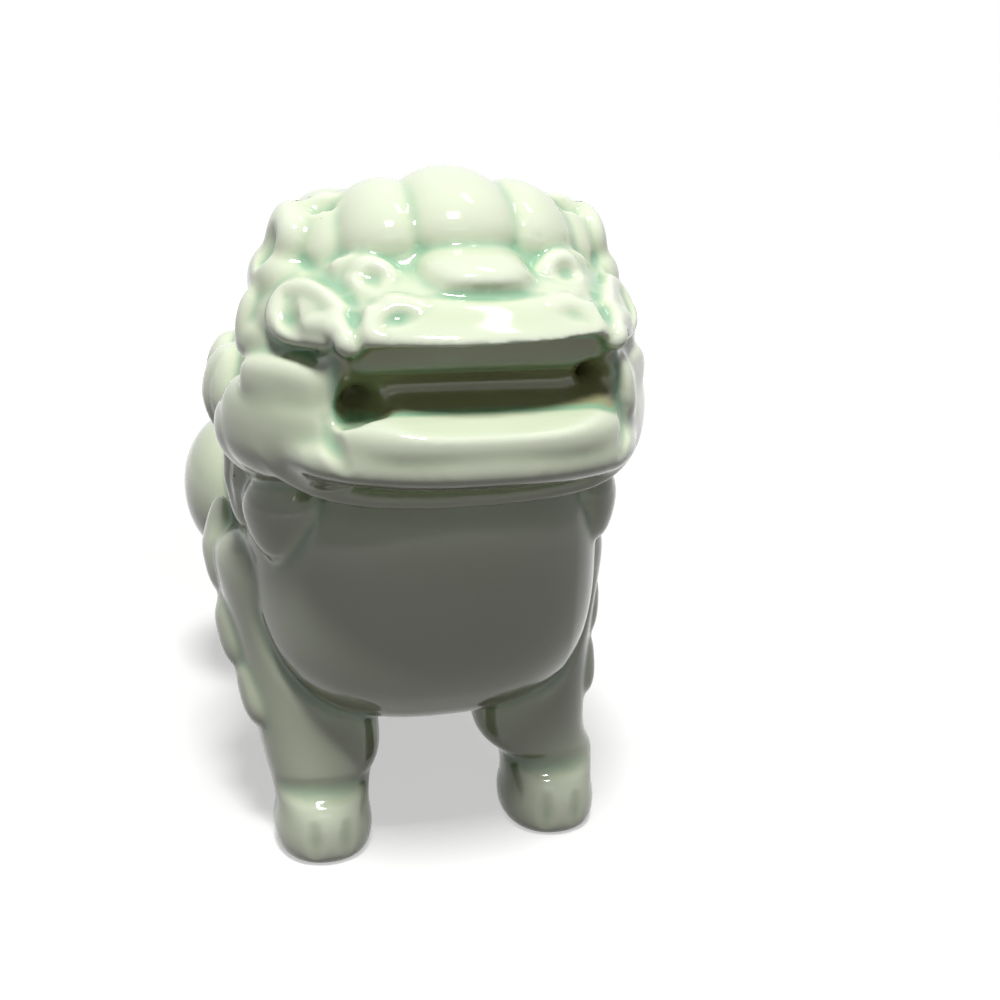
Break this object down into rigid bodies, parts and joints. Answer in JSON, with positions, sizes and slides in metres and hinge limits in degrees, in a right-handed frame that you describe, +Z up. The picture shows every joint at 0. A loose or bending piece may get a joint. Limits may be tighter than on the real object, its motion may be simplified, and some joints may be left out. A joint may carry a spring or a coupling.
{
  "type": "foo dog candle holder",
  "caption": "Standing guardian lion in glossy pale green glazed ceramic, with an open mouth, curled mane and a candle socket on its back.",
  "frame": {"origin": "middle of the figure's length and width, on the surface that the four feet stand on", "axes": "+Z up, the dog faces -Y, its left side is at +X"},
  "size_m": [0.082, 0.1474, 0.1249],
  "materials": {
    "thin_glaze": "gloss glaze, thin and pale over the raised forms",
    "even_glaze": "gloss glaze, greener where it gathers between the curls"
  },
  "bodies": {
    "root": {"brow_curl_centre": "thin_glaze", "brow_curl_left_1": "thin_glaze", "brow_curl_left_2": "thin_glaze", "brow_curl_right_1": "thin_glaze", "brow_curl_right_2": "thin_glaze", "candle_cup": "even_glaze", "cheek_curl_left": "even_glaze", "cheek_curl_right": "even_glaze", "ear_left": "even_glaze", "ear_right": "even_glaze", "eye_left": "thin_glaze", "eye_right": "thin_glaze", "front_leg_left": "thin_glaze", "front_leg_right": "thin_glaze", "haunch_left": "thin_glaze", "haunch_right": "thin_glaze", "jowl_left": "thin_glaze", "jowl_right": "thin_glaze", "lower_jaw": "thin_glaze", "mane_lock_left_1": "even_glaze", "mane_lock_left_2": "even_glaze", "mane_lock_left_3": "even_glaze", "mane_lock_left_4": "even_glaze", "mane_lock_right_1": "even_glaze", "mane_lock_right_2": "even_glaze", "mane_lock_right_3": "even_glaze", "mane_lock_right_4": "even_glaze", "muzzle": "thin_glaze", "nape_lock_1": "even_glaze", "nape_lock_2": "even_glaze", "nape_lock_3": "even_glaze", "nape_lock_4": "even_glaze", "nape_lock_5": "even_glaze", "nose": "thin_glaze", "nostril_curl_left": "thin_glaze", "nostril_curl_right": "thin_glaze", "rear_leg_left": "thin_glaze", "rear_leg_right": "thin_glaze", "shoulder_tuft_left_1": "even_glaze", "shoulder_tuft_left_2": "even_glaze", "shoulder_tuft_left_3": "even_glaze", "shoulder_tuft_right_1": "even_glaze", "shoulder_tuft_right_2": "even_glaze", "shoulder_tuft_right_3": "even_glaze", "skull": "thin_glaze", "tail": "thin_glaze", "tail_curl_left": "even_glaze", "tail_curl_right": "even_glaze", "torso": "thin_glaze"}
  },
  "joints": []
}
